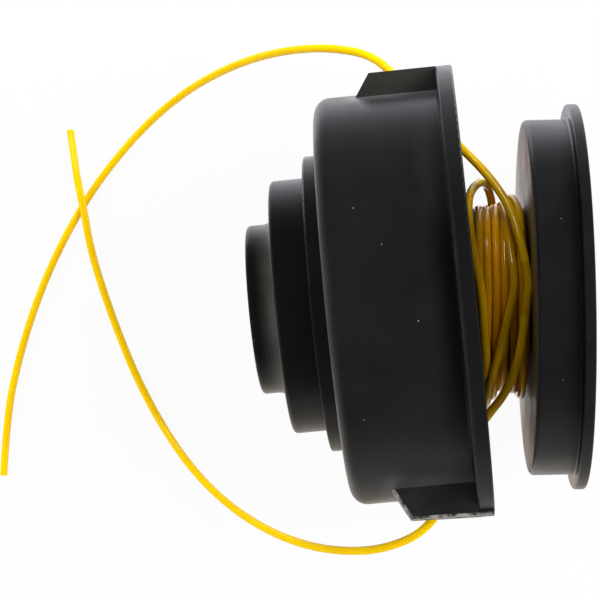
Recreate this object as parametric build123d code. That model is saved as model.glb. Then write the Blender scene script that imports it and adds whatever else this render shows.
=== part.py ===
"""Trimmer line head lying on the ground, with its line spool drawn part way out of the housing.

The rigid pieces are made on the head's own axis, which is X: the hub is at the minus end, and the
origin is the middle of the housing's open face. The spool is made on its own axis in the same way,
back from its outer face. The head is then leant over until the rims of the housing and of the spool
both lie on the ground, and moved so that the middle of its box stands on the origin.
"""

from build123d import *
import math
import os

# Line
line_diameter = 2.0

# Housing: a moulded cup with a flange round its mouth and a stepped hub behind
cup_diameter = 96.0
cup_depth = 32.9
cup_wall = 4.0
cup_edge_radius = 3.8
flange_overhang = 4.85
flange_thickness = 3.9
rim_radius = 0.5
collar_diameter = 69.8
collar_height = 3.7
step_diameter = 59.8
step_height = 8.4
hub_diameter = 39.9
hub_height = 6.6
hub_root_radius = 2.8
hub_edge_radius = 1.0
back_wall = 3.2
step_wall = 3.3
inner_corner_radius = 1.5

# Line exits: two hollow boxes on the sides of the cup
exit_box_width = 31.4
exit_box_length = 15.3
exit_box_slope = 3.3
exit_box_wall = 2.4
exit_box_bite = 1.3
exit_hole_diameter = 9.0
exit_hole_back = 11.8
exit_hole_lip = 0.8
exit_hole_round = 0.8

# Sleeve that the spool runs on, held in the hub, and the long nut moulded into it
sleeve_diameter = 18.0
sleeve_end_back = 18.0
sleeve_bore = 10.0
nut_across_flats = 13.0
nut_length = 24.0
nut_bore = 6.8
nut_chamfer = 0.6

# Spring round the sleeve, seated in the hub's step
spring_diameter = 38.0
spring_wire = 1.8
spring_turns = 5
spring_length = 25.0
spring_gap = 0.1

# Stop lugs in the hub, and the index teeth of the spool that meet them
lug_count = 4
tooth_count = 8
tooth_height = 3.0
tooth_width = 8.0
tooth_depth = 4.0
tooth_clearance = 1.0

# Spool: a dished disc, a winding core and a small inner flange in one moulding
disc_diameter = 83.4
disc_depth = 12.7
disc_wall = 2.5
disc_edge_radius = 1.0
lip_diameter = 90.4
lip_thickness = 2.6
core_diameter = 26.0
core_wall = 2.6
winding_width = 16.5
inner_flange_diameter = 54.0
inner_flange_thickness = 2.0
tube_length = 18.5
bore_play = 0.15
boss_recess = 1.5
rib_count = 6
rib_thickness = 2.0
rib_recess = 2.8

# Wound line: turns side by side, with one more layer heaped against the disc
winding_diameter = 44.0
winding_turns = 8
heaped_turns = 2
winding_gap = 0.1

# How the drawn-out spool stands askew: it swings about a point on the head's axis
swing_point_back = 30.0
swing_sideways = -4.2
swing_down = 2.0
spool_reach = 54.87

# How far the head may have to lean, and in how many halvings its lean is found
steepest_lean = 45.0
lean_steps = 50

# Routes of the line's two ends: from the winding, out through the exits and over the ground to the cuts
ground_gap = 0.05
bend_share = 0.45
lie = line_diameter / 2 + ground_gap
upper_route = [
    (26.6, 2.5, 71.1), (25.4, 9.8, 70.0), (22.3, 17.2, 66.8), (17.2, 24.8, 63.0),
    (10.5, 32.5, 59.5), (3.5, 42.0, 56.5), (-3.0, 51.5, 54.5), (-9.5, 58.5, 52.0),
    (-19.5, 63.5, 47.0), (-31.0, 66.5, 40.0), (-44.0, 68.5, 30.5), (-58.0, 68.5, 20.5),
    (-72.0, 66.0, 11.0), (-84.5, 61.0, 4.5), (-95.5, 54.0, lie), (-105.5, 44.5, lie),
    (-115.0, 32.0, lie), (-123.5, 18.0, lie), (-130.5, 2.0, lie), (-135.5, -14.0, lie),
    (-138.0, -30.0, lie),
]
lower_route = [
    (25.4, -9.5, 71.2), (23.3, -16.8, 69.2), (20.1, -22.3, 66.0), (16.2, -27.2, 62.8),
    (11.3, -32.4, 60.0), (5.0, -40.5, 57.5), (-1.0, -48.3, 55.0), (-8.0, -54.5, 52.8),
    (-19.0, -58.5, 48.0), (-31.5, -59.0, 40.5), (-45.0, -56.5, 31.0), (-58.5, -51.0, 21.0),
    (-71.5, -43.0, 12.0), (-82.5, -33.0, 5.0), (-91.5, -20.0, lie), (-97.5, -6.5, lie),
    (-102.0, 8.0, lie), (-105.5, 22.0, lie), (-106.5, 30.5, 2.5), (-106.0, 38.5, 5.5),
    (-107.0, 47.0, 5.5), (-109.0, 55.0, 2.5), (-110.3, 61.5, lie),
]

# Places worked out from the sizes above
cup_r = cup_diameter / 2
cup_bore_r = cup_r - cup_wall
flange_r = cup_r + flange_overhang
collar_r = collar_diameter / 2
step_r = step_diameter / 2
hub_r = hub_diameter / 2
sleeve_r = sleeve_diameter / 2
cup_back = -cup_depth
collar_back = cup_back - collar_height
step_back = collar_back - step_height
hub_back = step_back - hub_height
spring_seat = step_back + back_wall
sleeve_end = -sleeve_end_back
box_half = exit_box_width / 2
box_top = math.sqrt(flange_r**2 - box_half**2)
box_back = -flange_thickness - exit_box_length
tooth_inner_r = spring_diameter / 2 + spring_wire / 2 + tooth_clearance
disc_face = -disc_depth
inner_flange_face = disc_face - winding_width
inner_flange_back = inner_flange_face - inner_flange_thickness
tube_end = inner_flange_back - tube_length
core_r = core_diameter / 2
lip_r = lip_diameter / 2


def turned(corners):
    """Solid of revolution about X, from a closed outline of ((x, radius), corner radius)."""
    points = [point for point, _ in corners]
    outline = FilletPolyline(*points, radius=[radius for _, radius in corners], close=True)
    return revolve(make_face(outline), Axis.X)


def tooth_ring(count, foot, direction):
    """Wedge-shaped teeth round X that stand on the plane x = foot and point to plus or minus X."""
    half = tooth_width / 2
    tip = foot + direction * tooth_height
    side = make_face(Polyline((foot, -half), (foot, half), (tip, half), close=True))
    wedge = Pos(0, tooth_inner_r, 0) * extrude(Plane.XZ * side, -tooth_depth)
    return [Rot(360 * i / count, 0, 0) * wedge for i in range(count)]


def housing_shell():
    """Cup, flange and stepped hub with their walls, and the hole that holds the sleeve."""
    return turned([
        ((hub_back, sleeve_r), 0),
        ((hub_back, hub_r), hub_edge_radius),
        ((step_back, hub_r), hub_root_radius),
        ((step_back, step_r), hub_edge_radius),
        ((collar_back, step_r), rim_radius),
        ((collar_back, collar_r), rim_radius),
        ((cup_back, collar_r), rim_radius),
        ((cup_back, cup_r), cup_edge_radius),
        ((-flange_thickness, cup_r), rim_radius),
        ((-flange_thickness, flange_r), rim_radius),
        ((0, flange_r), rim_radius),
        ((0, cup_bore_r), rim_radius),
        ((cup_back + back_wall, cup_bore_r), inner_corner_radius),
        ((cup_back + back_wall, collar_r - step_wall), 0),
        ((collar_back + back_wall, collar_r - step_wall), 0),
        ((collar_back + back_wall, step_r - step_wall), 0),
        ((spring_seat, step_r - step_wall), 0),
        ((spring_seat, hub_r - step_wall), 0),
        ((hub_back + back_wall, hub_r - step_wall), 0),
        ((hub_back + back_wall, sleeve_r), 0),
    ])


def exit_box():
    """Box on the +Y side of the cup: its corners lie on the flange's circle, and one end slopes."""
    foot = math.sqrt(cup_r**2 - box_half**2) - exit_box_bite
    front = -flange_thickness
    foot_back = box_back - exit_box_slope
    outline = Polyline((front, foot), (front, box_top), (box_back, box_top), (foot_back, foot), close=True)
    block = extrude(make_face(outline), box_half, both=True)
    return fillet(block.faces().sort_by(Axis.Y)[-1].edges(), rim_radius)


def exit_room():
    """Room inside the box, which opens into the cup and at its mouth."""
    top = box_top - exit_box_wall
    half = box_half - exit_box_wall
    foot = math.sqrt(cup_bore_r**2 - half**2) - cup_wall
    back = box_back + exit_box_wall
    outline = Polyline((0, foot), (0, top), (back, top), (back - exit_box_slope, foot), close=True)
    return extrude(make_face(outline), half, both=True)


def exit_hole():
    """Hole for the line through the outer wall of the box, with rounded lips."""
    inner = box_top - exit_box_wall
    hole_r = exit_hole_diameter / 2
    middle = (inner + box_top) / 2
    outline = FilletPolyline(
        (0, inner), (hole_r + exit_hole_lip, inner), (hole_r, middle), (hole_r + exit_hole_lip, box_top),
        (0, box_top), radius=[0, exit_hole_round, 0],
    )
    plug = revolve(make_face(outline.edges() + Line((0, box_top), (0, inner)).edges()), Axis.Y)
    return Pos(-exit_hole_back, 0, 0) * plug


def hex_bar(length, start):
    """Six-sided bar along X, of the long nut's width across its flats."""
    section = Plane.YZ.offset(start) * RegularPolygon(nut_across_flats / 2, 6, major_radius=False)
    return extrude(section, length)


def make_housing():
    body = housing_shell()
    for turn in (0, 180):
        body += Rot(turn, 0, 0) * exit_box()
    for turn in (0, 180):
        body -= Rot(turn, 0, 0) * exit_room()
        body -= Rot(turn, 0, 0) * exit_hole()
    for lug in tooth_ring(lug_count, spring_seat, 1):
        body += lug
    return body


def make_sleeve():
    tube = turned([
        ((hub_back, sleeve_bore / 2), 0),
        ((hub_back, sleeve_r), 0),
        ((sleeve_end, sleeve_r), rim_radius),
        ((sleeve_end, sleeve_bore / 2), 0),
    ])
    return tube - hex_bar(nut_length, hub_back)


def make_nut():
    bore = extrude(Plane.YZ.offset(hub_back) * Circle(nut_bore / 2), nut_length)
    nut = hex_bar(nut_length, hub_back) - bore
    mouths = nut.edges().filter_by(GeomType.CIRCLE)
    return chamfer(mouths, nut_chamfer)


def make_spring():
    rise = spring_length - spring_wire
    coil = Helix(rise / spring_turns, rise, spring_diameter / 2)
    wire = sweep(Plane(coil @ 0, z_dir=coil % 0) * Circle(spring_wire / 2), coil, is_frenet=True)
    return Pos(spring_seat + spring_wire / 2 + spring_gap, 0, 0) * Rot(0, 90, 0) * wire


def swing_angle():
    return math.hypot(math.radians(swing_sideways), math.radians(swing_down))


def make_spool():
    sway = (sleeve_end + swing_point_back) * math.tan(swing_angle())
    bore_r = sleeve_r + sway + bore_play
    boss_end = -boss_recess
    body = turned([
        ((boss_end - disc_wall, 0), 0),
        ((boss_end - disc_wall, bore_r), rim_radius),
        ((tube_end, bore_r), rim_radius),
        ((tube_end, bore_r + core_wall), rim_radius),
        ((inner_flange_back, bore_r + core_wall), 0),
        ((inner_flange_back, inner_flange_diameter / 2), rim_radius),
        ((inner_flange_face, inner_flange_diameter / 2), rim_radius),
        ((inner_flange_face, core_r), 0),
        ((disc_face, core_r), 0),
        ((disc_face, disc_diameter / 2), disc_edge_radius),
        ((-lip_thickness, disc_diameter / 2), rim_radius),
        ((-lip_thickness, lip_r), rim_radius),
        ((0, lip_r), rim_radius),
        ((0, disc_diameter / 2 - disc_wall), rim_radius),
        ((disc_face + disc_wall, disc_diameter / 2 - disc_wall), inner_corner_radius),
        ((disc_face + disc_wall, bore_r + core_wall), rim_radius),
        ((boss_end, bore_r + core_wall), rim_radius),
        ((boss_end, 0), 0),
    ])
    web = disc_face + disc_wall
    rib_start = bore_r + core_wall / 2
    rib_end = disc_diameter / 2 - disc_wall / 2
    rib_top = -rib_recess
    rib_corners = [(web, rib_start), (web, rib_end), (rib_top, rib_end), (rib_top, rib_start)]
    rib_side = Polyline(*rib_corners, close=True)
    rib = extrude(make_face(rib_side), rib_thickness / 2, both=True)
    for i in range(rib_count):
        body += Rot(360 * i / rib_count, 0, 0) * rib
    for tooth in tooth_ring(tooth_count, inner_flange_back, -1):
        body += tooth
    return body


def make_winding():
    """The wound line as one solid of revolution with a ridge for each turn."""
    left = inner_flange_face + winding_gap
    pitch = (winding_width - 2 * winding_gap) / winding_turns
    ridge = line_diameter / 2
    inner = core_r + winding_gap
    edges = []
    last = (left, inner)
    for i in range(winding_turns):
        layer = line_diameter if i >= winding_turns - heaped_turns else 0
        valley = winding_diameter / 2 - ridge + layer
        start = (left + i * pitch, valley)
        end = (left + (i + 1) * pitch, valley)
        top = (left + (i + 0.5) * pitch, valley + ridge)
        edges += [Line(last, start)] if last != start else []
        edges += [ThreePointArc(start, top, end)]
        last = end
    edges += [Line(last, (last[0], inner)), Line((last[0], inner), (left, inner))]
    return revolve(make_face(edges), Axis.X)


def make_line(route):
    """Line along a route: straight runs joined by arcs as large as the runs leave room for."""
    points = [Vector(*point) for point in route]
    radii = []
    for before, here, after in zip(points, points[1:], points[2:]):
        arriving = here - before
        leaving = after - here
        half_turn = math.radians(arriving.get_angle(leaving)) / 2
        radii.append(bend_share * min(arriving.length, leaving.length) / math.tan(half_turn))
    path = FilletPolyline(*points, radius=radii)
    tube = sweep(Plane(path @ 0, z_dir=path % 0) * Circle(line_diameter / 2), path)
    section = math.pi * line_diameter**2 / 4
    share = tube.volume / section / path.length
    print("line length", round(path.length, 1), "volume share", round(share, 4))
    print("radii", [round(radius, 1) for radius in radii])
    return tube


def spool_place():
    """Place of the spool's own frame in the head's."""
    swing = Rot(0, swing_down, 0) * Rot(0, 0, swing_sideways)
    return Pos(-swing_point_back, 0, 0) * swing * Pos(spool_reach, 0, 0)


def lean_of_head():
    """Angle, in degrees, that the head turns about Y for both rims to lie on level ground."""
    place = spool_place()
    disc_middle = place.position
    disc_axis = (place * Pos(1, 0, 0)).position - disc_middle

    def gap(lean):
        up = Vector(-math.sin(lean), 0, math.cos(lean))
        flange_low = -flange_r * math.cos(lean)
        disc_low = disc_middle.dot(up) - lip_r * math.sqrt(1 - disc_axis.dot(up) ** 2)
        return disc_low - flange_low

    low = 0.0
    high = math.radians(steepest_lean)
    for _ in range(lean_steps):
        middle = (low + high) / 2
        if gap(middle) > 0:
            low = middle
        else:
            high = middle
    return math.degrees(low)


def main():
    spool_at = spool_place()
    pieces = {
        "housing": make_housing(),
        "hub_sleeve": make_sleeve(),
        "drive_nut": make_nut(),
        "feed_spring": make_spring(),
        "spool": spool_at * make_spool(),
        "line_winding": spool_at * make_winding(),
    }
    lean = Rot(0, lean_of_head(), 0)
    pieces = {name: lean * piece for name, piece in pieces.items()}
    boxes = [piece.bounding_box() for piece in pieces.values()]
    ends_x = [min(box.min.X for box in boxes), max(box.max.X for box in boxes)]
    ends_y = [min(box.min.Y for box in boxes), max(box.max.Y for box in boxes)]
    floor = min(box.min.Z for box in boxes)
    ground = Pos(-sum(ends_x) / 2, -sum(ends_y) / 2, -floor)
    pieces = {name: ground * piece for name, piece in pieces.items()}
    pieces["line_upper"] = make_line(upper_route)
    pieces["line_lower"] = make_line(lower_route)
    os.makedirs("parts", exist_ok=True)
    for name, piece in pieces.items():
        export_step(piece, f"parts/{name}.step")


if __name__ == "__main__":
    main()
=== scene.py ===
"""Dresses the trimmer line head: moulded plastic, steel, the wound line and its two trailing ends."""

import math

import bpy
from bpy.props import FloatProperty, FloatVectorProperty, PointerProperty
from mathutils import Matrix, Vector


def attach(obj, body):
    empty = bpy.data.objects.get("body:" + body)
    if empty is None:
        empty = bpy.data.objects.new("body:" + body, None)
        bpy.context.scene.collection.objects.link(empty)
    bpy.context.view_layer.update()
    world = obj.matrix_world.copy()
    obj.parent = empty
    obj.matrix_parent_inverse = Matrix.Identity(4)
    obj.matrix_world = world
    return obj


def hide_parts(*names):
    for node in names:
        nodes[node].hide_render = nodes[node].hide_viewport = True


bl_info = {
    "name": "Trimmer line head",
    "version": (1, 0, 0),
    "blender": (4, 5, 0),
    "location": "View3D > Sidebar > Trimmer head",
    "description": "Finishes a trimmer line head and lays out its line",
    "category": "Object",
}

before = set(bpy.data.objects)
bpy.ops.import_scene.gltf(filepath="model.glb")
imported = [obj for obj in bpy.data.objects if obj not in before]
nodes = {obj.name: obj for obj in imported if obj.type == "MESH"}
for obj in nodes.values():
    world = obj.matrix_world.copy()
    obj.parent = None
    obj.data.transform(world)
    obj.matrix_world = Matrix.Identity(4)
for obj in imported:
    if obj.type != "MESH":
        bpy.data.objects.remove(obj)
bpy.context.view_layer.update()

MM = 0.001

# The head's own axis leans from the ground, and the spool stands askew on it
HEAD_PLACE = (
    Matrix.Translation((0.0092277, 0.0, 0.0511765))
    @ Matrix.Rotation(math.radians(13.9894), 4, "Y")
)
SPOOL_PLACE = (
    Matrix.Translation((0.0327231, -0.0040186, 0.0433549))
    @ Matrix.Rotation(math.radians(15.9894), 4, "Y")
    @ Matrix.Rotation(math.radians(-4.2), 4, "Z")
)

# Places on the housing along the head's axis, where a band has a start, a peak and an end
FLANGE_BACK = -0.0039
FLANGE_EDGE = (-0.0042, -0.0037, -0.0028)
FLANGE_SHADOW = (-0.0105, -0.0045)
FLANGE_LIGHT = (-0.0118, -0.006)
EXIT_REFLECTION = (-0.027, -0.022)
CUP_EDGE = (-0.0336, -0.0328, -0.0305)
HUB_STEP = -0.0366
HUB_ROOT = (-0.0500, -0.0462, -0.0440)

# Just outside the cup's skin, and the exits' flat sides above and below the axis
CUP_CLEAR = 0.0482
EXIT_SIDE = 0.0157

# Inner face of the spool's disc along the spool's axis, outside its winding
DISC_FACE = (-0.0126, -0.0122)
DISC_FACE_FROM = -0.0135
WINDING_CLEAR = 0.025

# Routes of the line's two ends, in millimetres, from the winding to the cut ends
LIE = 1.05
UPPER_ROUTE = [
    (26.6, 2.5, 71.1), (25.6, 9.8, 70.0), (22.8, 17.6, 66.8), (17.5, 25.7, 63.0),
    (10.6, 33.6, 59.5), (3.5, 42.4, 56.5), (-3.0, 51.5, 54.5), (-9.4, 58.7, 52.0),
    (-19.7, 62.9, 47.0), (-31.0, 65.7, 40.0), (-43.8, 67.6, 30.5), (-57.7, 67.7, 20.5),
    (-71.8, 65.7, 11.0), (-84.5, 61.0, 4.5), (-95.5, 54.0, LIE), (-105.3, 44.4, LIE),
    (-114.9, 32.0, LIE), (-123.4, 18.0, LIE), (-130.6, 2.0, LIE), (-135.7, -13.9, LIE),
    (-138.0, -30.0, LIE),
]
LOWER_ROUTE = [
    (25.4, -9.5, 71.2), (23.3, -16.8, 69.2), (20.1, -22.3, 66.0), (16.4, -26.7, 62.6),
    (11.6, -30.4, 59.6), (4.0, -38.6, 57.0), (-1.0, -48.0, 55.0), (-7.3, -55.5, 52.8),
    (-18.9, -58.8, 48.0), (-31.5, -58.6, 40.5), (-44.8, -56.1, 31.0), (-58.5, -50.9, 21.0),
    (-71.5, -43.0, 12.0), (-82.5, -33.0, 5.0), (-91.5, -20.0, LIE), (-97.4, -6.5, LIE),
    (-102.1, 8.0, LIE), (-105.8, 22.0, LIE), (-107.0, 30.6, 2.0), (-107.0, 38.8, 3.9),
    (-108.2, 47.3, 3.9), (-109.4, 55.1, 2.0), (-110.2, 61.5, LIE),
]

# Half turn that joins the two ends over the winding, between their first points
JOINING_ROUTE = [UPPER_ROUTE[0], (27.2, -1.4, 71.7), (26.5, -5.8, 72.2), LOWER_ROUTE[0]]

# Stations of the wound line on the spool: angle from the upper side, place along the axis, radius
OUTER_TURNS = [
    (180, -17.0, 22.4), (90, -16.3, 24.0), (67, -15.5, 24.3), (48, -14.4, 24.3), (22, -14.6, 23.2),
    (0, -14.9, 22.6), (-45, -14.5, 22.9), (-90, -14.3, 23.4), (-180, -16.3, 22.6), (-270, -18.0, 22.4),
    (-324, -17.6, 23.0), (-344, -16.8, 23.6), (-360, -16.2, 23.8), (-374, -17.8, 24.0),
    (-390, -19.4, 24.0), (-408, -21.1, 24.3), (-430, -22.4, 24.8), (-450, -22.8, 26.0),
    (-475, -22.4, 25.0), (-540, -20.8, 23.4), (-630, -19.5, 21.7), (-720, -20.3, 21.5),
    (-780, -20.8, 21.9), (-810, -21.0, 24.2), (-840, -21.2, 22.8), (-900, -21.3, 21.5),
    (-990, -21.5, 21.5), (-1080, -22.3, 21.5), (-1170, -23.5, 21.5), (-1260, -23.2, 21.5),
    (-1350, -23.2, 21.5), (-1440, -24.2, 21.5), (-1530, -25.5, 21.5), (-1620, -25.2, 21.5),
    (-1710, -25.3, 21.5), (-1800, -26.3, 21.5), (-1890, -27.3, 21.5), (-1980, -27.2, 21.5),
    (-2070, -27.4, 21.5), (-2160, -28.0, 21.6), (-2250, -27.6, 22.4), (-2340, -21.0, 23.2),
    (-2365, -19.3, 23.6), (-2390, -18.7, 24.2), (-2415, -19.8, 26.8), (-2435, -21.9, 28.0),
    (-2452, -24.9, 27.0), (-2466, -26.2, 25.8), (-2481, -26.2, 24.4), (-2498, -25.6, 23.9),
    (-2520, -23.9, 23.6), (-2537, -23.5, 23.5), (-2555, -23.0, 23.3), (-2572, -22.7, 22.9),
    (-2595, -23.8, 22.7), (-2630, -25.0, 22.6), (-2700, -25.6, 22.4),
]
INNER_TURNS = [
    (0, -28.2, 19.5), (-2160, -15.8, 19.5), (-2340, -14.2, 20.2), (-2430, -14.0, 21.2),
    (-2520, -13.9, 20.9), (-2610, -14.0, 21.4), (-2700, -15.2, 21.5), (-2790, -15.9, 21.5),
    (-2880, -16.6, 21.5), (-2970, -16.3, 22.0), (-3060, -17.2, 21.5), (-3150, -17.5, 21.5),
    (-3240, -18.4, 21.5), (-3330, -19.2, 21.5), (-3420, -19.2, 21.0),
]
STATION_STEP = 22.5

# Lamps: name, place, width and height, power, and whether the line mirrors it and alone is lit by it
LAMPS = (
    ("far softbox", (0.0, 1.0, 0.45), (1.2, 1.2), 7.5, False),
    ("near softbox", (0.0, -1.0, 0.45), (1.2, 1.2), 4.5, False),
    ("left softbox", (-1.0, 0.0, 0.45), (1.2, 1.2), 9.0, False),
    ("right softbox", (0.85, 0.0, 0.7), (0.6, 0.6), 14.0, False),
    ("far strip", (0.03, 0.65, 0.54), (0.05, 0.5), 2.4, True),
)


class LineSizes(bpy.types.PropertyGroup):
    """Sizes and colours of the cutting line."""

    diameter: FloatProperty(
        name="Diameter", description="Gauge of the line", default=0.002, unit="LENGTH"
    )
    upper_length: FloatProperty(
        name="Upper length", description="Length of the upper end", default=0.2712, unit="LENGTH"
    )
    lower_length: FloatProperty(
        name="Lower length", description="Length of the lower end", default=0.2568, unit="LENGTH"
    )
    end_colour: FloatVectorProperty(
        name="End colour", description="Colour of the trailing ends",
        default=(1.0, 0.605, 0.0015), subtype="COLOR",
    )
    # Painted shade: the wound turns are the line's own colour painted darker, as they lie between the
    # flange and the disc, and those below the outermost darker and redder still
    shaded_outer_colour: FloatVectorProperty(
        name="Outer colour", description="Colour of the outermost turns",
        default=(0.42, 0.24, 0.0015), subtype="COLOR",
    )
    shaded_deep_colour: FloatVectorProperty(
        name="Deep colour", description="Colour of the turns below them",
        default=(0.44, 0.185, 0.0015), subtype="COLOR",
    )
    # Painted shade on the ends: within the first distance they take the winding's shaded colour, beyond the
    # second their own
    shaded_to: FloatProperty(
        name="Amber to", description="Distance from the spool's axis up to which the ends are amber",
        default=0.0255, unit="LENGTH",
    )
    unshaded_from: FloatProperty(
        name="Bright from", description="Distance from the spool's axis where the ends are bright",
        default=0.044, unit="LENGTH",
    )
    end_sheen: FloatProperty(
        name="End sheen", description="Most light that the ends mirror", default=0.035, subtype="FACTOR"
    )
    wound_sheen: FloatProperty(
        name="Wound sheen", description="Most light that the wound turns mirror",
        default=0.6, subtype="FACTOR",
    )


class MouldedFinish(bpy.types.PropertyGroup):
    """Colour and polish of the moulded pieces."""

    housing_colour: FloatVectorProperty(
        name="Housing", description="Colour of the housing",
        default=(0.0075, 0.0075, 0.008), subtype="COLOR",
    )
    spool_colour: FloatVectorProperty(
        name="Spool", description="Colour of the spool",
        default=(0.0075, 0.0075, 0.0085), subtype="COLOR",
    )
    dust_colour: FloatVectorProperty(
        name="Dust", description="Colour of specks of dust", default=(0.4, 0.4, 0.385), subtype="COLOR"
    )
    # Colour of dust with painted highlights at the hub's root and the cup's edge, and of the pale layer on
    # the exits
    dust_and_light_colour: FloatVectorProperty(
        name="Film", description="Colour of dust that lies in the corners",
        default=(0.075, 0.071, 0.06), subtype="COLOR",
    )
    # Painted light: pale colour of the lit floor, painted along the lower exit's chamfer
    floor_light_colour: FloatVectorProperty(
        name="Floor light", description="Colour of worn edges", default=(0.3, 0.285, 0.265), subtype="COLOR"
    )
    # Painted light: colour of the painted light at the line exits' feet, beside the flange and on it
    painted_light_colour: FloatVectorProperty(
        name="Painted light", description="Colour of dust along the line exits and on the flange",
        default=(0.16, 0.163, 0.172), subtype="COLOR",
    )
    # Colour of dust with a painted warm reflection of the line on the disc's inner face
    face_dust_and_reflection_colour: FloatVectorProperty(
        name="Face", description="Colour of dust on the disc's inner face",
        default=(0.09, 0.072, 0.064), subtype="COLOR",
    )
    roughness: FloatProperty(
        name="Roughness", description="Polish of the mould", default=0.4, min=0.0, max=1.0,
        subtype="FACTOR",
    )


class ExitSizes(bpy.types.PropertyGroup):
    """Sizes of the line exits' shells, from the head's axis and from its mouth."""

    foot: FloatProperty(
        name="Foot", description="Distance of their feet", default=0.0442, unit="LENGTH"
    )
    # The lower exit reaches further than the upper one, a dark piece where there is only the floor's shadow
    # below it
    lower_reach: FloatProperty(
        name="Lower reach", description="Outer wall of the lower exit", default=0.0528, unit="LENGTH"
    )
    upper_reach: FloatProperty(
        name="Upper reach", description="Outer wall of the upper exit", default=0.0508, unit="LENGTH"
    )
    half_width: FloatProperty(
        name="Half width", description="Half their width", default=0.0158, unit="LENGTH"
    )
    front: FloatProperty(
        name="Front", description="Distance of their fronts", default=0.0037, unit="LENGTH"
    )
    back: FloatProperty(
        name="Back", description="Distance of their outer corners", default=0.0193, unit="LENGTH"
    )
    lower_slope: FloatProperty(
        name="Lower slope", description="Lean of the lower exit's end", default=0.0047, unit="LENGTH"
    )
    upper_slope: FloatProperty(
        name="Upper slope", description="Lean of the upper exit's end", default=0.0043, unit="LENGTH"
    )
    spread: FloatProperty(
        name="Spread", description="Drop of the lower exit's front corner", default=0.0005,
        unit="LENGTH",
    )
    chamfer: FloatProperty(
        name="Chamfer", description="Width of one chamfered edge", default=0.0011, unit="LENGTH"
    )
    wall: FloatProperty(
        name="Wall", description="Thickness of their walls", default=0.0026, unit="LENGTH"
    )
    # The toe under the flange is likewise a dark piece where there is only the floor's shadow
    toe_front: FloatProperty(
        name="Toe front", description="Front of the lower exit's toe", default=0.0002, unit="LENGTH"
    )
    toe_half: FloatProperty(
        name="Toe half", description="Half the width of that toe", default=0.0103, unit="LENGTH"
    )
    toe_lap: FloatProperty(
        name="Toe lap", description="How far that toe runs into its exit", default=0.0002, unit="LENGTH"
    )
    hole: FloatProperty(
        name="Hole", description="Diameter of the holes for the line", default=0.009, unit="LENGTH"
    )
    hole_back: FloatProperty(
        name="Hole back", description="Distance of the holes", default=0.0118, unit="LENGTH"
    )
    hole_flare: FloatProperty(
        name="Hole flare", description="Outer width of the holes in diameters", default=1.24
    )


class StageSettings(bpy.types.PropertyGroup):
    """Camera and light."""

    camera_place: FloatVectorProperty(
        name="Camera", description="Place of the camera", subtype="TRANSLATION", unit="LENGTH",
        default=(0.1390274, -0.0558474, 0.5994346),
    )
    camera_turn: FloatVectorProperty(
        name="Camera turn", description="Angles of the camera", subtype="EULER",
        default=(math.radians(4.1347), math.radians(17.9167), math.radians(-5.4412)),
    )
    lens: FloatProperty(
        name="Lens", description="Focal length in millimetres", default=144.0, min=1.0
    )
    world_strength: FloatProperty(
        name="World", description="Strength of the surroundings", default=0.2
    )
    world_gloss: FloatProperty(
        name="World gloss", description="Their strength as polish shows them", default=0.05
    )
    floor_glow: FloatProperty(
        name="Floor glow", description="Share of the floor's look that its own white makes",
        default=0.93, min=0.0, max=1.0, subtype="FACTOR",
    )
    pool_centre: FloatVectorProperty(
        name="Pool", description="Middle of the floor that polish shows bright",
        subtype="TRANSLATION", unit="LENGTH", default=(-0.025, 0.055, 0.0),
    )


def deselect_all():
    """Leaves edit mode and deselects every object."""
    if bpy.context.object and bpy.context.object.mode != "OBJECT":
        bpy.ops.object.mode_set(mode="OBJECT")
    bpy.ops.object.select_all(action="DESELECT")


def feed(tree, socket, value):
    """Links a socket to another, or sets it to a number, a vector or a colour."""
    if isinstance(value, bpy.types.NodeSocket):
        tree.links.new(value, socket)
    elif socket.type == "RGBA":
        socket.default_value = (*value, 1.0)
    else:
        socket.default_value = value


def math_node(tree, operation, first, second):
    """Math node of two links or numbers; returns its output."""
    node = tree.nodes.new("ShaderNodeMath")
    node.operation = operation
    feed(tree, node.inputs[0], first)
    feed(tree, node.inputs[1], second)
    return node.outputs[0]


def product(tree, first, *others):
    """Product of links and numbers."""
    for other in others:
        first = math_node(tree, "MULTIPLY", first, other)
    return first


def range_node(tree, value, span, result):
    """Map Range node with a smooth step from one pair of values to another; returns its output."""
    node = tree.nodes.new("ShaderNodeMapRange")
    node.interpolation_type = "SMOOTHSTEP"
    feed(tree, node.inputs["Value"], value)
    for end, low_or_high in enumerate(("Min", "Max")):
        node.inputs["From " + low_or_high].default_value = span[end]
        node.inputs["To " + low_or_high].default_value = result[end]
    return node.outputs["Result"]


def band_mask(tree, value, band):
    """Mask that rises from a band's start to its peak and falls to its end."""
    start, peak, end = band
    rise = range_node(tree, value, (start, peak), (0.0, 1.0))
    fall = range_node(tree, value, (peak, end), (1.0, 0.0))
    return product(tree, rise, fall)


def noise_node(tree, vector, scale, detail, roughness):
    """Noise texture whose scale is a link or a number; returns its value."""
    node = tree.nodes.new("ShaderNodeTexNoise")
    node.inputs["Detail"].default_value = detail
    node.inputs["Roughness"].default_value = roughness
    feed(tree, node.inputs["Vector"], vector)
    feed(tree, node.inputs["Scale"], scale)
    return node.outputs["Fac"]


def patchy(tree, vector, scale, full_from, result):
    """Patches that go from one value to another, which they reach where the noise is strong."""
    noise = noise_node(tree, vector, scale, 3.0, 0.6)
    return range_node(tree, noise, (0.3, full_from), result)


def mix_node(tree, blend, factor, first, second):
    """Mix of two colours, each a link or a fixed colour; returns its output."""
    node = tree.nodes.new("ShaderNodeMix")
    node.data_type = "RGBA"
    node.blend_type = blend
    feed(tree, node.inputs["Factor"], factor)
    feed(tree, node.inputs["A"], first)
    feed(tree, node.inputs["B"], second)
    return node.outputs["Result"]


def mix_colours(tree, factor, first, second):
    """Goes from the first colour to the second."""
    return mix_node(tree, "MIX", factor, first, second)


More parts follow.
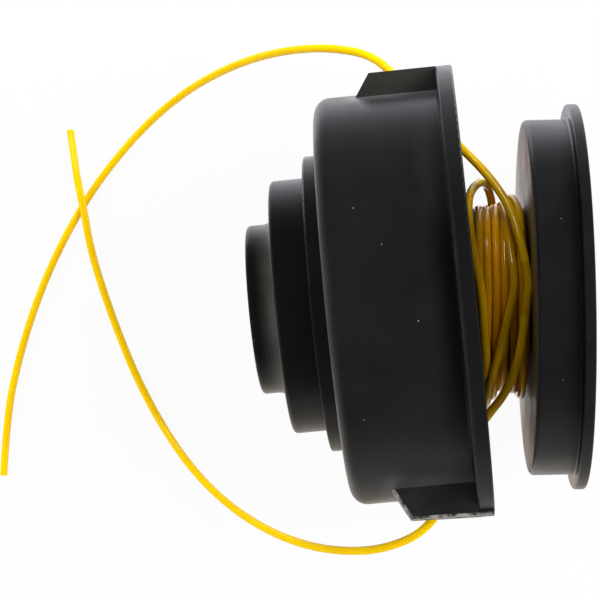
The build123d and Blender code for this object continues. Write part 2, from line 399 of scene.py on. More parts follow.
def shade_colour(tree, colour, shade):
    """Multiplies a colour by a shade."""
    return mix_node(tree, "MULTIPLY", 1.0, colour, shade)


def mix_shaders(tree, factor, first, second):
    """Makes a mix of two shaders the material's surface."""
    mix = tree.nodes.new("ShaderNodeMixShader")
    feed(tree, mix.inputs["Fac"], factor)
    feed(tree, mix.inputs[1], first)
    feed(tree, mix.inputs[2], second)
    feed(tree, tree.nodes["Material Output"].inputs["Surface"], mix.outputs["Shader"])


def group_sockets(group, ins, outs):
    """Gives a node group its named sockets, and returns its input and output nodes."""
    for name, kind, value in ins:
        socket = group.interface.new_socket(name=name, in_out="INPUT", socket_type=kind)
        if value is not None:
            socket.default_value = value
    for name, kind in outs:
        group.interface.new_socket(name=name, in_out="OUTPUT", socket_type=kind)
    return group.nodes.new("NodeGroupInput"), group.nodes.new("NodeGroupOutput")


def build_moulded_skin(group):
    """Skin of a moulded piece: blotches, fine grain and a roughness that follows them."""
    source, sink = group_sockets(
        group,
        [
            ("Vector", "NodeSocketVector", None),
            ("Blotch Scale", "NodeSocketFloat", 55.0),
            ("Grain Scale", "NodeSocketFloat", 1500.0),
            ("Polish", "NodeSocketFloat", 0.38),
        ],
        [("Shade", "NodeSocketFloat"), ("Roughness", "NodeSocketFloat"), ("Height", "NodeSocketFloat")],
    )
    vector = source.outputs["Vector"]
    blotch = noise_node(group, vector, source.outputs["Blotch Scale"], 3.0, 0.55)
    grain = noise_node(group, vector, source.outputs["Grain Scale"], 2.0, 0.6)
    feed(group, sink.inputs["Shade"], range_node(group, blotch, (0.3, 0.7), (0.82, 1.22)))
    blotch_rough = range_node(group, blotch, (0.25, 0.75), (-0.05, 0.05))
    grain_rough = range_node(group, grain, (0.2, 0.8), (-0.03, 0.03))
    both = math_node(group, "ADD", blotch_rough, grain_rough)
    feed(group, sink.inputs["Roughness"], math_node(group, "ADD", both, source.outputs["Polish"]))
    feed(group, sink.inputs["Height"], math_node(group, "ADD", product(group, blotch, 0.6), grain))


def build_dust_specks(group):
    """Pale specks of dust, as a mask."""
    source, sink = group_sockets(
        group,
        [
            ("Vector", "NodeSocketVector", None),
            ("Scale", "NodeSocketFloat", 400.0),
            ("Size", "NodeSocketFloat", 0.08),
            ("Share", "NodeSocketFloat", 0.06),
        ],
        [("Mask", "NodeSocketFloat")],
    )
    cells = group.nodes.new("ShaderNodeTexVoronoi")
    feed(group, cells.inputs["Vector"], source.outputs["Vector"])
    feed(group, cells.inputs["Scale"], source.outputs["Scale"])
    split = group.nodes.new("ShaderNodeSeparateColor")
    feed(group, split.inputs["Color"], cells.outputs["Color"])
    unequal = range_node(group, split.outputs["Blue"], (0.0, 1.0), (0.5, 1.3))
    size = product(group, source.outputs["Size"], unequal)
    speck = math_node(group, "LESS_THAN", cells.outputs["Distance"], size)
    chosen = math_node(group, "LESS_THAN", split.outputs["Red"], source.outputs["Share"])
    strength = range_node(group, split.outputs["Green"], (0.0, 1.0), (0.1, 1.0))
    feed(group, sink.inputs["Mask"], product(group, speck, chosen, strength))


def build_axis_place(group):
    """A point's place along, beside and above a leaning axis, and its distance from it."""
    source, sink = group_sockets(
        group,
        [
            ("Vector", "NodeSocketVector", None),
            ("Location", "NodeSocketVector", None),
            ("Rotation", "NodeSocketVector", None),
        ],
        [
            ("Along", "NodeSocketFloat"),
            ("Side", "NodeSocketFloat"),
            ("Lift", "NodeSocketFloat"),
            ("Radius", "NodeSocketFloat"),
        ],
    )
    frame_of_axis = group.nodes.new("ShaderNodeMapping")
    frame_of_axis.vector_type = "TEXTURE"
    for name in ("Vector", "Location", "Rotation"):
        feed(group, frame_of_axis.inputs[name], source.outputs[name])
    split = group.nodes.new("ShaderNodeSeparateXYZ")
    feed(group, split.inputs["Vector"], frame_of_axis.outputs["Vector"])
    for name, axis in (("Along", "X"), ("Side", "Y"), ("Lift", "Z")):
        feed(group, sink.inputs[name], split.outputs[axis])
    across = group.nodes.new("ShaderNodeCombineXYZ")
    for axis in ("Y", "Z"):
        feed(group, across.inputs[axis], split.outputs[axis])
    length = group.nodes.new("ShaderNodeVectorMath")
    length.operation = "LENGTH"
    feed(group, length.inputs[0], across.outputs["Vector"])
    feed(group, sink.inputs["Radius"], length.outputs["Value"])


GROUP_BUILDERS = {
    "moulded skin": build_moulded_skin,
    "dust specks": build_dust_specks,
    "axis place": build_axis_place,
}


def place_group(tree, name, vector, **values):
    """Places a node group, built on its first use, in a material with its own values."""
    group = bpy.data.node_groups.get(name)
    if group is None:
        group = bpy.data.node_groups.new(name, "ShaderNodeTree")
        GROUP_BUILDERS[name](group)
    node = tree.nodes.new("ShaderNodeGroup")
    node.node_tree = group
    feed(tree, node.inputs["Vector"], vector)
    for socket, value in values.items():
        feed(tree, node.inputs[socket.replace("_", " ")], value)
    return node


def place_axis(tree, vector, place):
    """Places the axis group for one of the leaning axes."""
    return place_group(
        tree, "axis place", vector, Location=place.to_translation(), Rotation=place.to_euler()
    )


def new_material(name):
    """Material, its tree, its shader and the object's own coordinates."""
    material = bpy.data.materials.new(name)
    material.use_nodes = True
    tree = material.node_tree
    coords = tree.nodes.new("ShaderNodeTexCoord")
    return material, tree, tree.nodes["Principled BSDF"], coords.outputs["Object"]


def moulded_material(name, colour, finish, blotch_scale):
    """Charcoal moulded plastic with blotches, fine grain and specks of dust."""
    material, tree, shader, vector = new_material(name)
    surface = place_group(
        tree, "moulded skin", vector, Blotch_Scale=blotch_scale, Grain_Scale=1500.0, Polish=finish.roughness
    )
    specks = place_group(tree, "dust specks", vector, Scale=500.0, Size=0.06, Share=0.14)
    plain = shade_colour(tree, colour, surface.outputs["Shade"])
    dusty = mix_colours(tree, specks.outputs["Mask"], plain, finish.dust_colour)
    feed(tree, shader.inputs["Base Color"], dusty)
    feed(tree, shader.inputs["Roughness"], surface.outputs["Roughness"])
    bump = tree.nodes.new("ShaderNodeBump")
    bump.inputs["Strength"].default_value = 0.12
    bump.inputs["Distance"].default_value = 0.2 * MM
    feed(tree, bump.inputs["Height"], surface.outputs["Height"])
    feed(tree, shader.inputs["Normal"], bump.outputs["Normal"])
    shader.inputs["IOR"].default_value = 1.58
    return material


def wearing_nodes(material, place):
    """Tree of a moulded material, the object's own coordinates and the axis group for one of the axes."""
    tree = material.node_tree
    vector = tree.nodes["Texture Coordinate"].outputs["Object"]
    return tree, vector, place_axis(tree, vector, place)


def add_painted_shade(material, shade):
    """Darkens a moulded material by a painted shade."""
    tree = material.node_tree
    target = tree.nodes["Principled BSDF"].inputs["Base Color"]
    feed(tree, target, shade_colour(tree, target.links[0].from_socket, shade))


def add_dust_and_light(material, dust_and_light_mask, colour):
    """Lays a colour over a moulded material where its mask says, for dust and for painted light."""
    tree = material.node_tree
    target = tree.nodes["Principled BSDF"].inputs["Base Color"]
    feed(tree, target, mix_colours(tree, dust_and_light_mask, target.links[0].from_socket, colour))


def finish_nylon(tree, shader, vector, colour, scatter, most_sheen):
    """Clouded nylon that scatters a share of the light inside and mirrors no more than a share."""
    cloud = noise_node(tree, vector, 90.0, 2.0, 0.5)
    tint = shade_colour(tree, colour, range_node(tree, cloud, (0.3, 0.7), (0.92, 1.0)))
    feed(tree, shader.inputs["Base Color"], tint)
    shader.inputs["Specular IOR Level"].default_value = 0.0
    shader.inputs["Subsurface Weight"].default_value = scatter
    shader.inputs["Subsurface Scale"].default_value = 2.5 * MM
    shader.inputs["Subsurface Radius"].default_value = (1.0, 0.6, 0.05)
    polish = tree.nodes.new("ShaderNodeBsdfGlossy")
    scuff = noise_node(tree, vector, 600.0, 2.0, 0.6)
    feed(tree, polish.inputs["Roughness"], range_node(tree, scuff, (0.3, 0.75), (0.07, 0.14)))
    sheen = tree.nodes.new("ShaderNodeFresnel")
    sheen.inputs["IOR"].default_value = 1.53
    limited = math_node(tree, "MINIMUM", sheen.outputs["Fac"], most_sheen)
    mix_shaders(tree, limited, shader.outputs["BSDF"], polish.outputs["BSDF"])


def end_material(sizes):
    """Nylon of the line's ends: bright yellow, and in painted shade near the winding, where they take the
    winding's shaded colour.
    """
    material, tree, shader, vector = new_material("line end nylon")
    axis = place_axis(tree, vector, SPOOL_PLACE)
    # Painted shade near the winding
    darkened = range_node(tree, axis.outputs["Radius"], (sizes.shaded_to, sizes.unshaded_from), (1.0, 0.0))
    colour = mix_colours(tree, darkened, sizes.end_colour, sizes.shaded_outer_colour)
    finish_nylon(tree, shader, vector, colour, 0.4, sizes.end_sheen)
    return material


def wound_material(sizes):
    """Nylon of the wound turns, in painted shade: redder where they lie deep, more olive outside and beside
    the flange.
    """
    material, tree, shader, vector = new_material("wound line nylon")
    axis = place_axis(tree, vector, SPOOL_PLACE)
    along = axis.outputs["Along"]
    radius = axis.outputs["Radius"]
    # Painted deeper shade on the turns below the outer ones, less of it beside the flange
    below = range_node(tree, radius, (0.0228, 0.0245), (1.0, 0.0))
    deep = product(tree, below, range_node(tree, along, (-0.0245, -0.0205), (0.3, 1.0)))
    colour = mix_colours(tree, deep, sizes.shaded_outer_colour, sizes.shaded_deep_colour)
    # Painted shade towards the flange and the disc, and painted light between them and on the loop that
    # stands off the winding
    flange_side_shade = range_node(tree, along, (-0.0258, -0.0205), (0.45, 1.3))
    disc_side_shade = range_node(tree, along, (-0.0205, -0.0168), (1.0, 0.6))
    standing = range_node(tree, radius, (0.0246, 0.0264), (0.0, 1.5))
    loop_side = range_node(tree, along, (-0.0205, -0.0185), (1.0, 0.0))
    loop_light = math_node(tree, "ADD", product(tree, standing, loop_side), 1.0)
    shaded = shade_colour(tree, colour, product(tree, flange_side_shade, disc_side_shade, loop_light))
    # Painted light where light would come through from behind, as bright as the ends
    back = range_node(tree, axis.outputs["Lift"], (-0.002, 0.004), (1.0, 0.0))
    clear = range_node(tree, radius, (0.0232, 0.0242), (0.0, 1.0))
    far_leg = range_node(tree, along, (-0.0186, -0.0172), (1.0, 0.0))
    lit = mix_colours(tree, product(tree, back, clear, far_leg), shaded, sizes.end_colour)
    finish_nylon(tree, shader, vector, lit, 1.0, sizes.wound_sheen)
    return material


def steel_material(name, colour, roughness):
    """Plated steel with fine drawing marks."""
    material, tree, shader, vector = new_material(name)
    marks = noise_node(tree, vector, 900.0, 3.0, 0.6)
    rough = range_node(tree, marks, (0.3, 0.7), (roughness - 0.08, roughness + 0.1))
    feed(tree, shader.inputs["Roughness"], rough)
    dull = [0.8 * part for part in colour]
    feed(tree, shader.inputs["Base Color"], mix_colours(tree, marks, dull, colour))
    shader.inputs["Metallic"].default_value = 0.6
    return material


def set_material(thing, material):
    """Gives an object one material."""
    thing.data.materials.clear()
    thing.data.materials.append(material)


def cuboid(low, high):
    """Cuboid between two corners."""
    deselect_all()
    bpy.ops.mesh.primitive_cube_add(
        size=1.0,
        location=[(least + most) / 2 for least, most in zip(low, high)],
        scale=[most - least for least, most in zip(low, high)],
    )
    bpy.ops.object.transform_apply(location=True, rotation=False, scale=True)
    return bpy.context.object


def select_vertices(thing, test):
    """Goes to edit mode and selects the vertices whose place passes the test."""
    if thing.mode != "OBJECT":
        bpy.ops.object.mode_set(mode="OBJECT")
    for part in (*thing.data.polygons, *thing.data.edges):
        part.select = False
    for vertex in thing.data.vertices:
        vertex.select = test(vertex.co)
    bpy.ops.object.mode_set(mode="EDIT")
    bpy.ops.mesh.select_mode(type="VERT")


def chamfer_edges(thing, test, width):
    """Chamfers the edges between the vertices whose place passes the test."""
    select_vertices(thing, test)
    bpy.ops.mesh.select_mode(type="EDGE")
    bpy.ops.mesh.bevel(offset=width, segments=2, profile=0.5, affect="EDGES")
    bpy.ops.object.mode_set(mode="OBJECT")


def combine(thing, tool, operation):
    """Joins a tool's solid to an object or cuts it away, and removes the tool."""
    deselect_all()
    bpy.context.view_layer.objects.active = thing
    thing.select_set(True)
    change = thing.modifiers.new(operation.lower(), "BOOLEAN")
    change.operation = operation
    change.object = tool
    bpy.ops.object.modifier_apply(modifier=change.name)
    bpy.data.objects.remove(tool)


def nurbs_curve(name, routes, diameter):
    """Round line along each route, whose points are the control points of a smooth spline."""
    curve = bpy.data.curves.new(name, "CURVE")
    curve.dimensions = "3D"
    curve.bevel_depth = diameter / 2
    curve.bevel_resolution = 5
    curve.use_fill_caps = True
    curve.resolution_u = 8
    for route in routes:
        spline = curve.splines.new("NURBS")
        spline.points.add(len(route) - 1)
        for point, place in zip(spline.points, route):
            point.co = (*place, 1.0)
        spline.order_u = 3
        spline.use_endpoint_u = True
    thing = bpy.data.objects.new(name, curve)
    bpy.context.scene.collection.objects.link(thing)
    return thing


def spool_point(angle, along, radius):
    """Place of a station on the spool."""
    turn = math.radians(angle)
    return SPOOL_PLACE @ (Vector((along, radius * math.sin(turn), radius * math.cos(turn))) * MM)


def wound_points(stations):
    """Points of a wound line on the spool, at even steps of angle between the stations."""
    points = []
    for before, after in zip(stations, stations[1:]):
        steps = max(1, round((before[0] - after[0]) / STATION_STEP))
        for step in range(steps):
            share = step / steps
            ease = share * share * (3 - 2 * share)
            angle = before[0] + (after[0] - before[0]) * share
            along = before[1] + (after[1] - before[1]) * ease
            radius = before[2] + (after[2] - before[2]) * ease
            points.append(spool_point(angle, along, radius))
    points.append(spool_point(*stations[-1]))
    return points


class TRIMMER_OT_moulded_pieces(bpy.types.Operator):
    """Gives the housing and the spool their moulded plastic"""

    bl_idname = "trimmer.moulded_pieces"
    bl_label = "Moulded pieces"

    def execute(self, context):
        finish = context.scene.trimmer_moulded
        housing = moulded_material("housing plastic", finish.housing_colour, finish, 55.0)
        self.wear_housing(housing, finish)
        spool = moulded_material("spool plastic", finish.spool_colour, finish, 70.0)
        self.wear_spool(spool, finish)
        set_material(nodes["housing"], housing)
        set_material(nodes["hub_sleeve"], housing)
        set_material(nodes["spool"], spool)
        return {"FINISHED"}

    def wear_housing(self, material, finish):
        """Painted shade beside the flange and on the step that the cup's wall shades, and a darker flange;
        dust with painted highlights at the hub's root and the cup's edge, a pale layer on the upper exit,
        and painted light beside the flange, at the exits' feet and on the flange.
        """
        tree, vector, axis = wearing_nodes(material, HEAD_PLACE)
        along = axis.outputs["Along"]
        side = axis.outputs["Side"]
        flange = math_node(tree, "GREATER_THAN", along, FLANGE_BACK)
        behind_flange = math_node(tree, "SUBTRACT", 1.0, flange)
        patches = patchy(tree, vector, 120.0, 0.6, (0.6, 1.0))

        # Painted shade: darker on the cup beside the flange and on the step that the cup's wall shades, and
        # the flange darker too
        corner = range_node(tree, along, FLANGE_SHADOW, (1.0, 0.3))
        painted_shade = math_node(tree, "MAXIMUM", corner, product(tree, flange, 0.62))
        step = math_node(tree, "LESS_THAN", along, HUB_STEP)
        add_painted_shade(material, math_node(tree, "SUBTRACT", painted_shade, product(tree, step, 0.35)))

        # Dust with painted highlights at the hub's root and along the cup's back edge, and a pale layer on
        # the upper exit's top
        root = band_mask(tree, along, HUB_ROOT)
        edge = product(tree, band_mask(tree, along, CUP_EDGE), 0.4)
        exit_box = math_node(tree, "GREATER_THAN", axis.outputs["Radius"], CUP_CLEAR)
        upper_side = range_node(tree, side, (0.044, 0.046), (0.0, 0.36))
        upper_exit = product(tree, exit_box, upper_side, behind_flange)
        dust_and_light_mask = math_node(tree, "MAXIMUM", math_node(tree, "MAXIMUM", root, edge), upper_exit)
        add_dust_and_light(material, product(tree, dust_and_light_mask, patches), finish.dust_and_light_colour)

        self.paint_exit_reflection(material, axis, patches, finish)

        # Painted light on the cup beside the flange, stronger towards the upper side
        flange_light = product(tree, range_node(tree, along, FLANGE_LIGHT, (0.0, 1.0)), behind_flange)
        flange_light = product(tree, flange_light, range_node(tree, side, (0.002, 0.026), (0.0, 0.075)))
        add_dust_and_light(material, flange_light, finish.painted_light_colour)

        # Painted highlight on the flange towards its upper end and along its back edge
        flange_highlight = product(tree, flange, range_node(tree, side, (0.01, 0.05), (0.0, 0.12)))
        flange_highlight = math_node(tree, "MAXIMUM", flange_highlight, product(tree, band_mask(tree, along, FLANGE_EDGE), 0.06))
        add_dust_and_light(material, product(tree, flange_highlight, patches), finish.painted_light_colour)

    def paint_exit_reflection(self, material, axis, patches, finish):
        """Painted reflection on the cup along the feet of the line exits, stronger at the upper one."""
        tree = material.node_tree
        on_cup = math_node(tree, "LESS_THAN", axis.outputs["Radius"], CUP_CLEAR)
        beside = product(tree, range_node(tree, axis.outputs["Along"], EXIT_REFLECTION, (0.0, 1.0)), on_cup)
        height = math_node(tree, "ABSOLUTE", axis.outputs["Lift"], 0.0)
        for sign, spread, share in ((1.0, 0.0232, 1.0), (-1.0, 0.0245, 0.36)):
            side = product(tree, axis.outputs["Side"], sign)
            foot = product(tree, beside, range_node(tree, side, (0.036, 0.041), (0.0, share)))
            foot = product(tree, foot, range_node(tree, height, (EXIT_SIDE, spread), (1.0, 0.0)))
            add_dust_and_light(material, product(tree, foot, patches), finish.painted_light_colour)

    def wear_spool(self, material, finish):
        """Warm dust with a painted warm reflection of the line on the disc's inner face, in streaks."""
        tree, vector, axis = wearing_nodes(material, SPOOL_PLACE)
        along = axis.outputs["Along"]
        face = product(
            tree,
            range_node(tree, along, DISC_FACE, (1.0, 0.0)),
            math_node(tree, "GREATER_THAN", along, DISC_FACE_FROM),
            math_node(tree, "GREATER_THAN", axis.outputs["Radius"], WINDING_CLEAR),
        )
        streaks = patchy(tree, vector, 260.0, 0.65, (0.6, 1.0))
        add_dust_and_light(material, product(tree, face, streaks), finish.face_dust_and_reflection_colour)


class TRIMMER_OT_exit_covers(bpy.types.Operator):
    """Models the outer shells of the two line exits; the lower one is deepened and given a toe where there
    is only the floor's shadow, with painted floor light along its chamfer
    """

    bl_idname = "trimmer.exit_covers"
    bl_label = "Exit covers"

    def execute(self, context):
        sizes = context.scene.trimmer_exit
        finish = context.scene.trimmer_moulded
        lower = self.block(sizes, sizes.lower_reach, sizes.lower_slope, sizes.spread)
        combine(lower, self.toe(sizes), "UNION")
        self.hollow(sizes, lower, "exit_cover_lower", sizes.lower_reach, 0.0)
        upper = self.block(sizes, sizes.upper_reach, sizes.upper_slope, 0.0)
        self.hollow(sizes, upper, "exit_cover_upper", sizes.upper_reach, 180.0)
        floor_lit = self.exit_plastic(finish, "lower exit plastic", (0.02, 0.1))
        self.paint_floor_light_edge(sizes, finish, floor_lit)
        set_material(lower, floor_lit)
        # The upper exit gets a far thicker pale layer than the lower one, which makes it lighter
        set_material(upper, self.exit_plastic(finish, "upper exit plastic", (0.2, 0.36)))
        return {"FINISHED"}

    def block(self, sizes, reach, slope, spread):
        """Block with a sloping end and a chamfer along one edge, in the head's own frame."""
        front = -sizes.front
        back = -sizes.back
        middle = -(sizes.foot + reach) / 2
        cover = cuboid((back, -reach, -sizes.half_width), (front, -sizes.foot, sizes.half_width))
        select_vertices(cover, lambda place: place.x < back + MM and place.y > middle)
        bpy.ops.transform.translate(value=(-slope, 0.0, 0.0))
        select_vertices(cover, lambda place: place.x > front - MM and place.y < middle)
        bpy.ops.transform.translate(value=(0.0, -spread, 0.0))
        chamfer_edges(
            cover,
            lambda place: place.z > 0.0 and (place.y < middle or place.x < back - MM),
            sizes.chamfer,
        )
        return cover

    def toe(self, sizes):
        """Narrower block that goes on under the flange, with a chamfer along the same edge; a dark piece
        where there is only the floor's shadow.
        """
        inner = sizes.lower_reach - 2 * sizes.wall
        outer = sizes.lower_reach + sizes.spread
        toe = cuboid(
            (-sizes.front - sizes.toe_lap, -outer, -sizes.toe_half),
            (-sizes.toe_front, -inner, sizes.toe_half),
        )
        chamfer_edges(
            toe, lambda place: place.z > 0.0 and place.y < -(inner + outer) / 2, sizes.chamfer
        )
        return toe

    def room(self, sizes, reach):
        """Room inside the block, which opens into the cup."""
        wall = sizes.wall
        half_width = sizes.half_width - wall
        return cuboid(
            (wall - sizes.back, wall - reach, -half_width),
            (wall - sizes.front, 2 * wall - sizes.foot, half_width),
        )

    def hole(self, sizes, reach):
        """Hole for the line, wider outside."""
        deselect_all()
        bpy.ops.mesh.primitive_cone_add(
            vertices=48,
            radius1=sizes.hole * sizes.hole_flare / 2,
            radius2=sizes.hole / 2,
            depth=3 * sizes.wall,
            location=(-sizes.hole_back, -reach + sizes.wall, 0.0),
            rotation=(math.radians(-90), 0.0, 0.0),
        )
        return bpy.context.object

    def hollow(self, sizes, cover, name, reach, turn):
        """Hollows a block, cuts its hole for the line and turns it round the head's axis to its side."""
        cover.name = name
        combine(cover, self.room(sizes, reach), "DIFFERENCE")
        combine(cover, self.hole(sizes, reach), "DIFFERENCE")
        bpy.ops.object.mode_set(mode="EDIT")
        bpy.ops.mesh.select_all(action="SELECT")
        bpy.ops.mesh.normals_make_consistent(inside=False)
        bpy.ops.object.mode_set(mode="OBJECT")
        bpy.ops.object.shade_smooth_by_angle(angle=math.radians(35))
        cover.matrix_world = HEAD_PLACE @ Matrix.Rotation(math.radians(turn), 4, "X")
        bpy.ops.object.transform_apply(location=True, rotation=True, scale=True)
        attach(cover, "root")

    def exit_plastic(self, finish, name, veil):
        """Housing plastic under a patchy pale layer, from its thinnest to its thickest."""
        material = moulded_material(name, finish.housing_colour, finish, 55.0)
        tree = material.node_tree
        vector = tree.nodes["Texture Coordinate"].outputs["Object"]
        add_dust_and_light(material, patchy(tree, vector, 120.0, 0.6, veil), finish.dust_and_light_colour)
        return material

    def paint_floor_light_edge(self, sizes, finish, material):
        """Paints the chamfer pale, as painted light of the lit floor beside the exit, with a ragged border.
        """
        tree, vector, axis = wearing_nodes(material, HEAD_PLACE)
        ragged = patchy(tree, vector, 420.0, 0.7, (-0.35 * MM, 0.35 * MM))
        on_toe = math_node(tree, "GREATER_THAN", axis.outputs["Along"], -sizes.front)
        raise_toe = product(tree, on_toe, sizes.half_width - sizes.toe_half)
        level = math_node(tree, "ADD", axis.outputs["Lift"], raise_toe)
        top = sizes.half_width
        low = top - sizes.chamfer
        floor_lit = (low - 0.1 * MM, low + 0.4 * sizes.chamfer, top + 0.2 * MM)
        edge = band_mask(tree, math_node(tree, "ADD", level, ragged), floor_lit)
        border = range_node(tree, level, (top - 0.1 * MM, top - 0.02 * MM), (1.0, 0.0))
        add_dust_and_light(material, product(tree, edge, border), finish.floor_light_colour)


class TRIMMER_OT_steel_pieces(bpy.types.Operator):
    """Gives the nut and the spring their steel"""

    bl_idname = "trimmer.steel_pieces"
    bl_label = "Steel pieces"

    def execute(self, context):
        set_material(nodes["drive_nut"], steel_material("nut steel", (0.62, 0.61, 0.58), 0.32))
        set_material(nodes["feed_spring"], steel_material("spring steel", (0.42, 0.42, 0.43), 0.36))
        return {"FINISHED"}


class TRIMMER_OT_line_ends(bpy.types.Operator):
    """Lays the two ends of the line from the winding through the exits to their cuts"""

    bl_idname = "trimmer.line_ends"
    bl_label = "Line ends"

    def execute(self, context):
        sizes = context.scene.trimmer_line
        material = end_material(sizes)
        plans = (("upper", UPPER_ROUTE, sizes.upper_length), ("lower", LOWER_ROUTE, sizes.lower_length))
        for side, route, length in plans:
            route = [Vector(point) * MM for point in route]
            end = nurbs_curve("line_end_" + side, [route], sizes.diameter)
            set_material(end, material)
            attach(end, "root")
            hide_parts("line_" + side)
        return {"FINISHED"}


class TRIMMER_OT_wound_line(bpy.types.Operator):
    """Winds the line on the spool"""

    bl_idname = "trimmer.wound_line"
    bl_label = "Wound line"

    def execute(self, context):
        sizes = context.scene.trimmer_line
        deselect_all()
        joining = [Vector(point) * MM for point in JOINING_ROUTE]
        routes = [joining, wound_points(OUTER_TURNS), wound_points(INNER_TURNS)]
        turns = nurbs_curve("wound_line", routes, sizes.diameter)
        turns.data.resolution_u = 3
        turns.data.bevel_resolution = 3
        set_material(turns, wound_material(sizes))
        context.view_layer.objects.active = turns
        turns.select_set(True)
        bpy.ops.object.convert(target="MESH")
        bpy.ops.object.shade_smooth()
        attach(turns, "root")
        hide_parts("line_winding")
        return {"FINISHED"}


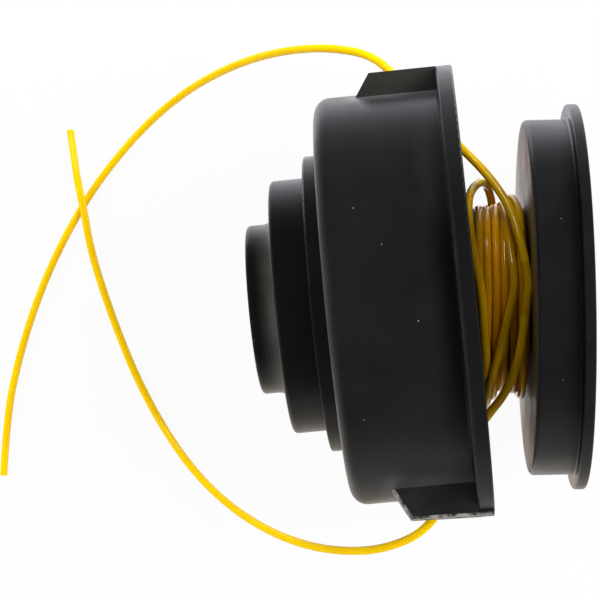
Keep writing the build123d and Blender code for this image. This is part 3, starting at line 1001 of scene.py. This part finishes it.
class TRIMMER_OT_stage(bpy.types.Operator):
    """Sets the floor, the light and the camera"""

    bl_idname = "trimmer.stage"
    bl_label = "Stage"

    def execute(self, context):
        stage = context.scene.trimmer_stage
        deselect_all()
        bpy.ops.mesh.primitive_plane_add(size=6.0)
        floor = context.object
        floor.name = "floor"
        set_material(floor, self.floor_material(stage))
        self.surroundings(context, stage)
        self.lamps(context)
        self.camera(context, stage)
        context.scene.view_settings.view_transform = "Standard"
        return {"FINISHED"}

    def floor_material(self, stage):
        """White floor with the object's shadow; polish shows it tinted, and bright near the object only."""
        material, tree, shader, vector = new_material("floor white")
        shader.inputs["Base Color"].default_value = (0.8, 0.8, 0.8, 1.0)
        shader.inputs["Roughness"].default_value = 0.9
        split = tree.nodes.new("ShaderNodeSeparateXYZ")
        feed(tree, split.inputs["Vector"], vector)
        path = tree.nodes.new("ShaderNodeLightPath")
        glossy = path.outputs["Is Glossy Ray"]
        pool = self.pool_strength(tree, stage, vector, split)
        above = product(tree, glossy, math_node(tree, "SUBTRACT", pool, 1.0))
        glow = tree.nodes.new("ShaderNodeEmission")
        tint = mix_colours(tree, glossy, (1.0, 1.0, 1.0), self.pool_tint(tree, split))
        feed(tree, glow.inputs["Color"], tint)
        feed(tree, glow.inputs["Strength"], math_node(tree, "ADD", above, 1.0))
        seen = math_node(tree, "MAXIMUM", path.outputs["Is Camera Ray"], glossy)
        seen = math_node(tree, "MAXIMUM", seen, path.outputs["Is Transmission Ray"])
        shown = product(tree, seen, stage.floor_glow)
        mix_shaders(tree, shown, shader.outputs["BSDF"], glow.outputs["Emission"])
        return material

    def pool_strength(self, tree, stage, vector, split):
        """Strength of the floor in polish: a bright pool, dimmer under the disc."""
        distance = tree.nodes.new("ShaderNodeVectorMath")
        distance.operation = "DISTANCE"
        distance.inputs[1].default_value = stage.pool_centre
        feed(tree, distance.inputs[0], vector)
        pool = range_node(tree, distance.outputs["Value"], (0.05, 0.2), (1.75, 0.3))
        return product(tree, pool, range_node(tree, split.outputs["X"], (0.02, 0.05), (1.0, 0.78)))

    def pool_tint(self, tree, split):
        """Tint of the floor in polish: cool beyond the head, warm before it and beside the winding."""
        near = range_node(tree, split.outputs["Y"], (-0.05, 0.05), (1.0, 0.0))
        tint = mix_colours(tree, near, (0.95, 0.98, 1.06), (1.05, 0.98, 0.9))
        beside = math_node(tree, "ABSOLUTE", split.outputs["Y"], 0.0)
        gap = product(
            tree,
            band_mask(tree, split.outputs["X"], (-0.014, 0.003, 0.02)),
            band_mask(tree, beside, (0.02, 0.042, 0.06)),
        )
        return mix_colours(tree, gap, tint, (1.02, 0.8, 0.71))

    def surroundings(self, context, stage):
        """White world that the camera sees at full strength, and the object and its polish at less."""
        world = bpy.data.worlds.new("soft surroundings")
        context.scene.world = world
        world.use_nodes = True
        tree = world.node_tree
        back = tree.nodes["Background"]
        back.inputs["Color"].default_value = (1.0, 1.0, 1.0, 1.0)
        path = tree.nodes.new("ShaderNodeLightPath")
        seen = product(tree, path.outputs["Is Camera Ray"], 1.0 - stage.world_strength)
        gloss = product(tree, path.outputs["Is Glossy Ray"], stage.world_gloss - stage.world_strength)
        strength = math_node(tree, "ADD", seen, gloss)
        feed(tree, back.inputs["Strength"], math_node(tree, "ADD", strength, stage.world_strength))

    def lamps(self, context):
        """Softboxes all round that polish doesn't show, and a strip for the line's highlights."""
        glossy_pieces = bpy.data.collections.new("glossy pieces")
        for name in ("line_end_upper", "line_end_lower", "wound_line"):
            glossy_pieces.objects.link(bpy.data.objects[name])
        for name, place, size, power, mirrored in LAMPS:
            deselect_all()
            bpy.ops.object.light_add(type="AREA", location=place)
            lamp = context.object
            lamp.name = name
            lamp.data.shape = "RECTANGLE"
            lamp.data.size = size[0]
            lamp.data.size_y = size[1]
            lamp.data.energy = power
            lamp.rotation_euler = (-Vector(place)).to_track_quat("-Z", "Y").to_euler()
            lamp.visible_glossy = mirrored
            if mirrored:
                lamp.light_linking.receiver_collection = glossy_pieces

    def camera(self, context, stage):
        """Camera at the photograph's viewing angle."""
        deselect_all()
        bpy.ops.object.camera_add(location=stage.camera_place, rotation=stage.camera_turn)
        camera = context.object
        camera.name = "photo camera"
        camera.data.sensor_width = 36.0
        camera.data.lens = stage.lens
        camera.data.clip_start = 0.01
        camera.data.clip_end = 20.0
        context.scene.camera = camera


class TRIMMER_PT_head(bpy.types.Panel):
    """Lists the steps that dress the trimmer head"""

    bl_label = "Trimmer head"
    bl_idname = "TRIMMER_PT_head"
    bl_space_type = "VIEW_3D"
    bl_region_type = "UI"
    bl_category = "Trimmer head"

    def draw(self, context):
        for step in STEPS:
            self.layout.operator(step.bl_idname)


GROUPS = (LineSizes, MouldedFinish, ExitSizes, StageSettings)
STEPS = (
    TRIMMER_OT_moulded_pieces,
    TRIMMER_OT_exit_covers,
    TRIMMER_OT_steel_pieces,
    TRIMMER_OT_line_ends,
    TRIMMER_OT_wound_line,
    TRIMMER_OT_stage,
)


def register():
    for cls in GROUPS + STEPS + (TRIMMER_PT_head,):
        bpy.utils.register_class(cls)
    bpy.types.Scene.trimmer_line = PointerProperty(type=LineSizes)
    bpy.types.Scene.trimmer_moulded = PointerProperty(type=MouldedFinish)
    bpy.types.Scene.trimmer_exit = PointerProperty(type=ExitSizes)
    bpy.types.Scene.trimmer_stage = PointerProperty(type=StageSettings)


def unregister():
    del bpy.types.Scene.trimmer_stage
    del bpy.types.Scene.trimmer_exit
    del bpy.types.Scene.trimmer_moulded
    del bpy.types.Scene.trimmer_line
    for cls in reversed(GROUPS + STEPS + (TRIMMER_PT_head,)):
        bpy.utils.unregister_class(cls)


def main():
    register()
    bpy.ops.trimmer.moulded_pieces()
    bpy.ops.trimmer.exit_covers()
    bpy.ops.trimmer.steel_pieces()
    bpy.ops.trimmer.line_ends()
    bpy.ops.trimmer.wound_line()
    bpy.ops.trimmer.stage()


if __name__ == "__main__":
    main()
